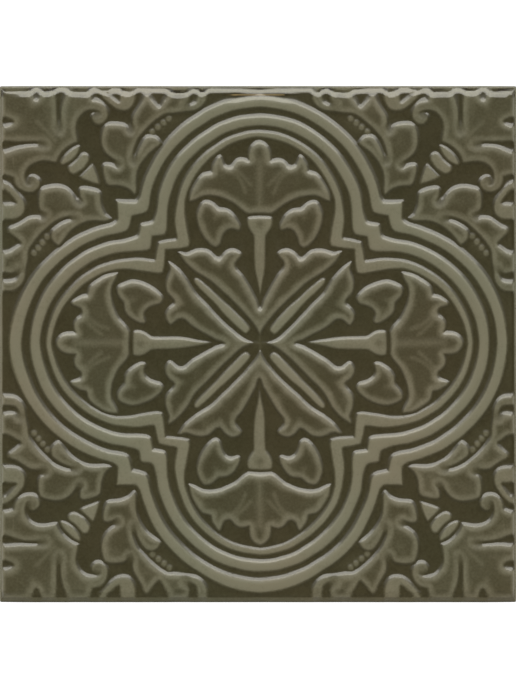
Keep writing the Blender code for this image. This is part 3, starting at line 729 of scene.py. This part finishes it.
def makeTile():
    spots, faces = wholeFace()
    placed, z, slope, tones = tileSurface(spots)
    points = [np.column_stack([placed, z])]
    normals = [np.column_stack([-slope, np.ones(len(slope))])]
    tones = [[tone] for tone in tones]
    loop = boundaryLoop(spots, faces)
    corner = blank["topReach"] - sides["cornerRound"]
    base = placed[loop]
    out = base - np.clip(base, -corner, corner)
    out /= np.linalg.norm(out, axis=1, keepdims=True)
    facing = smoothStep(*sides["facing"], out[:, 1]), smoothStep(*sides["facing"], -out[:, 1])
    count = len(points[0])
    rings, allFaces = [loop], [faces]
    steps = [(reach, z[loop] + drop) for reach, drop in sides["hanging"]]
    steps += [(reach, np.full(len(loop), level)) for reach, level in sides["standing"]]
    for i, (reach, level) in enumerate(steps):
        points.append(np.column_stack([base + out * reach, level]))
        tilt = math.radians(sides["tilts"][i])
        normals.append(np.column_stack([out * math.sin(tilt), np.full(len(loop), math.cos(tilt))]))
        # painted shade darkens the rings that face up and down the picture
        thin = sides["thin"][i] + facing[0] * sides["paintedShadeNorth"][i] + facing[1] * sides["paintedShadeSouth"][i]
        for tone, values in zip(tones, (thin, sides["worn"][i], 0.0, 0.0)):
            tone.append(np.zeros(len(loop)) + values)
        rings.append(np.arange(len(loop)) + count)
        count += len(loop)
    for upper, lower in zip(rings, rings[1:]):
        a, b = upper, np.roll(upper, -1)
        c, d = np.roll(lower, -1), lower
        allFaces += [np.stack([a, d, b], -1), np.stack([b, d, c], -1)]
    faces = np.concatenate(allFaces)
    points, normals = np.concatenate(points), np.concatenate(normals)
    tall, shift = sides["trim"]
    points[:, 1] = tall * points[:, 1] + shift
    # the last ring closes with one flat face, the back
    triangles = len(faces)
    corners = np.concatenate([faces.ravel(), rings[-1][::-1]])
    starts = np.append(np.arange(triangles) * 3, triangles * 3)
    totals = np.append(np.full(triangles, 3), len(loop))
    mesh = meshFromArrays("glazedTile", points * mm, corners, starts, totals)
    mesh.polygons.foreach_set("use_smooth", np.append(np.ones(triangles, bool), False))
    which = np.zeros(len(mesh.polygons), np.int32)
    which[triangles - 2 * sides["bareBands"] * len(loop):] = 1
    mesh.polygons.foreach_set("material_index", which)
    # the first tone holds how thin the glaze lies, with painted shade and painted light mixed in near walls
    # and edges
    for name, values in zip(("thinGlazeAndShade", "wornEdge", "inward", "poolDepth"), tones):
        layer = mesh.attributes.new(name, "FLOAT", "POINT")
        layer.data.foreach_set("value", np.concatenate(values).astype(np.float32))
    normals /= np.linalg.norm(normals, axis=1, keepdims=True)
    perCorner = normals[corners]
    perCorner[triangles * 3:] = (0, 0, -1)
    mesh.normals_split_custom_set(perCorner.tolist())
    tile = bpy.data.objects.new("glazedTile", mesh)
    bpy.context.scene.collection.objects.link(tile)
    print("tile made,", len(mesh.polygons), "faces,", len(loop), "along its edge")
    return tile


def addNode(tree, kind, **settings):
    node = tree.nodes.new(kind)
    for name, value in settings.items():
        setattr(node, name, value)
    return node


def linkNoise(tree, place, scale, detail):
    noise = addNode(tree, "ShaderNodeTexNoise")
    noise.inputs["Scale"].default_value = scale
    noise.inputs["Detail"].default_value = detail
    tree.links.new(place.outputs["Object"], noise.inputs["Vector"])
    return noise.outputs["Fac"]


def linkMath(tree, operation, first, second, third=None):
    node = addNode(tree, "ShaderNodeMath", operation=operation)
    for socket, value in zip(node.inputs, (first, second, third)):
        if isinstance(value, (int, float)):
            socket.default_value = value
        elif value is not None:
            tree.links.new(value, socket)
    return node.outputs[0]


def linkClamp(tree, value):
    return linkMath(tree, "MINIMUM", linkMath(tree, "MAXIMUM", value, 0.0), 1.0)


def linkSway(tree, place, scale, detail, sway):
    # noise that swings evenly about nought
    return linkMath(tree, "MULTIPLY_ADD", linkNoise(tree, place, scale, detail), sway, -sway / 2)


def linkContrast(tree, place, scale, detail, contrast):
    # noise with its middle kept at a half
    noise = linkNoise(tree, place, scale, detail)
    return linkMath(tree, "MULTIPLY_ADD", noise, contrast, (1 - contrast) / 2)


def linkBump(tree, shader, height, distance, strength):
    bump = addNode(tree, "ShaderNodeBump")
    bump.inputs["Distance"].default_value = distance
    bump.inputs["Strength"].default_value = strength
    tree.links.new(height, bump.inputs["Height"])
    tree.links.new(bump.outputs["Normal"], shader.inputs["Normal"])


def linkMix(tree, kind, share, first, second):
    node = addNode(tree, "ShaderNodeMix", data_type="RGBA", blend_type=kind)
    for socket, value in ((node.inputs[0], share), (node.inputs[6], first), (node.inputs[7], second)):
        if isinstance(value, tuple):
            socket.default_value = (*value, 1)
        elif isinstance(value, float):
            socket.default_value = value
        else:
            tree.links.new(value, socket)
    return node.outputs[2]


# Olive glaze from a deep pool to a thin film, and how it wanders in colour. Each noise has its
# scale and detail first.
glaze = {
    "stops": [
        (0.00, (0.0345, 0.0292, 0.0114)), (0.07, (0.0408, 0.0350, 0.0147)),
        (0.18, (0.0470, 0.0410, 0.0184)), (0.34, (0.0615, 0.0545, 0.0276)),
        (0.53, (0.0850, 0.0770, 0.0435)), (0.765, (0.1220, 0.1120, 0.0690)),
        (1.00, (0.1640, 0.1530, 0.1000)),
    ],
    "floor": 0.065, "ior": 1.5,
    "shore": (1.0, 3.9), "shoreWander": (150.0, 2.0, 2.4),     # where a leaf's pool begins and is full
    "wander": [(38.0, 2.0, 0.14), (190.0, 4.0, 0.20), (1100.0, 3.0, 0.37)],
    "lean": (24.0, 3.0, 3.0), "leanTints": ((0.970, 1.010, 0.970), (1.045, 0.990, 0.950)),
    "patch": (0.020, 0.015, 0.004), "patchNoise": (130.0, 3.0, 6.0),
    "ochre": (0.277, 0.200, 0.083),
    # painted glints: sparse bright specks of dust, coloured as tiny sparkles
    "speckGlint": (0.75, 0.74, 0.68), "speckScale": 75.0, "speckSize": 0.022, "speckRarity": 0.90,
    "roughness": (0.11, 0.18), "grain": (90.0, 3.0),
    "ripple": (320.0, 2.0), "rippleHeight": 0.03 * mm,
}


def readTone(tree, name):
    return addNode(tree, "ShaderNodeAttribute", attribute_name=name).outputs["Fac"]


def makeGlaze():
    material = bpy.data.materials.new("oliveGlaze")
    material.use_nodes = True
    tree = material.node_tree
    shader = tree.nodes["Principled BSDF"]
    shader.inputs["IOR"].default_value = glaze["ior"]
    place = addNode(tree, "ShaderNodeTexCoord")
    # the pool inside a leaf has a wavering shore
    shore = addNode(tree, "ShaderNodeMapRange", interpolation_type="SMOOTHSTEP")
    shore.inputs["From Min"].default_value, shore.inputs["From Max"].default_value = glaze["shore"]
    shifted = linkMath(tree, "ADD", readTone(tree, "inward"), linkSway(tree, place, *glaze["shoreWander"]))
    tree.links.new(shifted, shore.inputs["Value"])
    pool = linkMath(tree, "MULTIPLY", readTone(tree, "poolDepth"), shore.outputs[0])
    thin = linkMath(tree, "SUBTRACT", readTone(tree, "thinGlazeAndShade"), pool)
    thin = linkMath(tree, "MULTIPLY_ADD", thin, 1 - glaze["floor"], glaze["floor"])
    for cloud in glaze["wander"]:
        thin = linkMath(tree, "ADD", thin, linkSway(tree, place, *cloud))
    ramp = addNode(tree, "ShaderNodeValToRGB")
    stops = ramp.color_ramp.elements
    while len(stops) < len(glaze["stops"]):
        stops.new(0.5)
    for stop, (at, colour) in zip(stops, glaze["stops"]):
        stop.position = at
        stop.color = (*colour, 1)
    tree.links.new(thin, ramp.inputs["Fac"])
    # some places lean to green and some to brown
    tint = linkMix(tree, "MIX", linkContrast(tree, place, *glaze["lean"]), *glaze["leanTints"])
    colour = linkMix(tree, "MULTIPLY", 1.0, ramp.outputs["Color"], tint)
    # dark patches where it is worn, and an ochre streak where the upper lobe meets the edge
    worn = readTone(tree, "wornEdge")
    patch = linkClamp(tree, linkContrast(tree, place, *glaze["patchNoise"]))
    share = linkMath(tree, "MULTIPLY", linkMath(tree, "MINIMUM", worn, 1.0), patch)
    colour = linkMix(tree, "MIX", share, colour, glaze["patch"])
    share = linkClamp(tree, linkMath(tree, "SUBTRACT", worn, 1.0))
    colour = linkMix(tree, "MIX", share, colour, glaze["ochre"])
    # a few bright specks: dust fired into the glaze, painted bright as tiny glints
    cells = addNode(tree, "ShaderNodeTexVoronoi")
    cells.inputs["Scale"].default_value = glaze["speckScale"]
    tree.links.new(place.outputs["Object"], cells.inputs["Vector"])
    split = addNode(tree, "ShaderNodeSeparateColor")
    tree.links.new(cells.outputs["Color"], split.inputs[0])
    close = linkMath(tree, "LESS_THAN", cells.outputs["Distance"], glaze["speckSize"])
    chosen = linkMath(tree, "GREATER_THAN", split.outputs[0], glaze["speckRarity"])
    colour = linkMix(tree, "MIX", linkMath(tree, "MULTIPLY", close, chosen), colour, glaze["speckGlint"])
    tree.links.new(colour, shader.inputs["Base Color"])
    smooth, dull = glaze["roughness"]
    grain = linkNoise(tree, place, *glaze["grain"])
    tree.links.new(linkMath(tree, "MULTIPLY_ADD", grain, dull - smooth, smooth), shader.inputs["Roughness"])
    linkBump(tree, shader, linkNoise(tree, place, *glaze["ripple"]), glaze["rippleHeight"], 1.0)
    return material


# Bare fired clay on the back.
biscuit = {
    "dark": (0.52, 0.40, 0.29), "pale": (0.66, 0.54, 0.42), "run": (0.3, 0.7),
    "grain": (400.0, 6.0), "grainHeight": 0.2 * mm, "grainStrength": 0.5,
    "roughness": 0.85,
}


def makeBiscuit():
    material = bpy.data.materials.new("bareBiscuit")
    material.use_nodes = True
    tree = material.node_tree
    shader = tree.nodes["Principled BSDF"]
    shader.inputs["Roughness"].default_value = biscuit["roughness"]
    grain = linkNoise(tree, addNode(tree, "ShaderNodeTexCoord"), *biscuit["grain"])
    ramp = addNode(tree, "ShaderNodeValToRGB")
    colours = biscuit["dark"], biscuit["pale"]
    for stop, at, colour in zip(ramp.color_ramp.elements, biscuit["run"], colours):
        stop.position = at
        stop.color = (*colour, 1)
    tree.links.new(grain, ramp.inputs["Fac"])
    tree.links.new(ramp.outputs["Color"], shader.inputs["Base Color"])
    linkBump(tree, shader, grain, biscuit["grainHeight"], biscuit["grainStrength"])
    return material


tile = makeTile()
tile.data.materials.append(makeGlaze())
tile.data.materials.append(makeBiscuit())
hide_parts("accent_tile")
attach(tile, "root")
print("tile glazed, its back left bare")

# The studio, in metres. White paper reads 1.
studio = {
    "floorHalf": 3.0, "floorDrop": 0.2 * mm, "floorGlow": 1.0, "floorShade": (0.13, 0.19),
    "floorFibre": (300.0, 5.0), "floorRoughness": 0.9,
    "windowNear": 1.5, "windowLow": 0.30, "windowHigh": 1.95, "windowHalfWide": 1.14,
    "windowGlow": 4.5, "windowTint": (1.0, 0.985, 0.925),
    "curtainWide": 0.62, "curtainGlow": 3.15,    # the window fades out at both sides
    "overheadHigh": 3.0, "overheadSouth": 1.1, "overheadHalf": 1.8, "overheadGlow": 2.25,
    "zenith": 0.10, "horizon": 0.35,
    "northGlow": 1.1, "northRun": (0.0, 0.62), "horizonRun": (0.975, 0.995),
}


def makeFloor():
    size = studio["floorHalf"]
    low = -studio["floorDrop"]  # a hair below the tile's back
    points = np.array([(-size, -size, low), (size, -size, low), (size, size, low), (-size, size, low)])
    mesh = meshFromArrays("paleFloor", points, [0, 1, 2, 3], [0], [4])
    floor = bpy.data.objects.new("paleFloor", mesh)
    bpy.context.scene.collection.objects.link(floor)
    material = bpy.data.materials.new("palePaper")
    material.use_nodes = True
    tree = material.node_tree
    shader = tree.nodes["Principled BSDF"]
    fibre = linkNoise(tree, addNode(tree, "ShaderNodeTexCoord"), *studio["floorFibre"])
    dark, pale = studio["floorShade"]
    tone = linkMix(tree, "MIX", fibre, (dark, dark, dark), (pale, pale, pale))
    tree.links.new(tone, shader.inputs["Base Color"])
    shader.inputs["Roughness"].default_value = studio["floorRoughness"]
    shader.inputs["Emission Color"].default_value = (1, 1, 1, 1)
    shader.inputs["Emission Strength"].default_value = studio["floorGlow"]
    mesh.materials.append(material)


def makeLight(name, wide, tall, glow):
    # glow is the light's own brightness
    data = bpy.data.lights.new(name, "AREA")
    data.shape = "RECTANGLE"
    data.size = wide
    data.size_y = tall
    data.energy = glow * math.pi * wide * tall
    lamp = bpy.data.objects.new(name, data)
    lamp.visible_camera = False
    bpy.context.scene.collection.objects.link(lamp)
    return lamp


def makeLights():
    low, high = studio["windowLow"], studio["windowHigh"]
    half, wide = studio["windowHalfWide"], studio["curtainWide"]
    aside = half + wide / 2
    panes = [("window", 0, 2 * half), ("curtain", -aside, wide), ("curtain", aside, wide)]
    for name, across, breadth in panes:
        lamp = makeLight(name, breadth, high - low, studio[name + "Glow"])
        lamp.location = (across, studio["windowNear"], (low + high) / 2)
        lamp.rotation_euler = (math.radians(-90), 0, 0)
        lamp.visible_diffuse = False
        lamp.data.color = studio["windowTint"]
    size = 2 * studio["overheadHalf"]
    overhead = makeLight("overhead", size, size, studio["overheadGlow"])
    overhead.location = (0, -studio["overheadSouth"], studio["overheadHigh"])
    overhead.visible_glossy = False


def makeWorld():
    # dim overhead, brighter low down and towards the window
    world = bpy.data.worlds.new("studio")
    world.use_nodes = True
    tree = world.node_tree
    split = addNode(tree, "ShaderNodeSeparateXYZ")
    tree.links.new(addNode(tree, "ShaderNodeTexCoord").outputs["Generated"], split.inputs[0])
    up = linkMath(tree, "MAXIMUM", split.outputs[2], 0.0)
    glow = linkMath(tree, "MULTIPLY_ADD", up, studio["zenith"] - studio["horizon"], studio["horizon"])
    north = addNode(tree, "ShaderNodeMapRange", interpolation_type="SMOOTHSTEP")
    north.inputs["From Min"].default_value, north.inputs["From Max"].default_value = studio["northRun"]
    north.inputs["To Max"].default_value = studio["northGlow"]
    tree.links.new(split.outputs[1], north.inputs["Value"])
    # but dark again along the horizon behind the window
    low = addNode(tree, "ShaderNodeMapRange", interpolation_type="SMOOTHSTEP")
    low.inputs["From Min"].default_value, low.inputs["From Max"].default_value = studio["horizonRun"]
    low.inputs["To Min"].default_value, low.inputs["To Max"].default_value = 1.0, 0.0
    tree.links.new(split.outputs[1], low.inputs["Value"])
    glow = linkMath(tree, "MULTIPLY", linkMath(tree, "ADD", glow, north.outputs[0]), low.outputs[0])
    tree.links.new(glow, tree.nodes["Background"].inputs["Strength"])
    tree.nodes["Background"].inputs["Color"].default_value = (1, 1, 1, 1)
    bpy.context.scene.world = world


# Straight above the tile, which fills the picture from side to side.
view = {
    "high": 2.4, "sensor": 36.0,
    "outline": (0.1997, 0.0075),  # how wide it shows, and how high its outline lies
    "picture": (516, 688),
}


def makeCamera():
    data = bpy.data.cameras.new("camera")
    data.sensor_width = view["sensor"]
    (shown, outlineHigh), (wide, tall) = view["outline"], view["picture"]
    data.lens = view["sensor"] * (view["high"] - outlineHigh) / (shown * tall / wide)
    camera = bpy.data.objects.new("camera", data)
    camera.location = (0, 0, view["high"])
    bpy.context.scene.collection.objects.link(camera)
    bpy.context.scene.camera = camera


makeFloor()
makeLights()
makeWorld()
makeCamera()
bpy.context.scene.view_settings.view_transform = "Standard"
print("floor, lights and camera set")
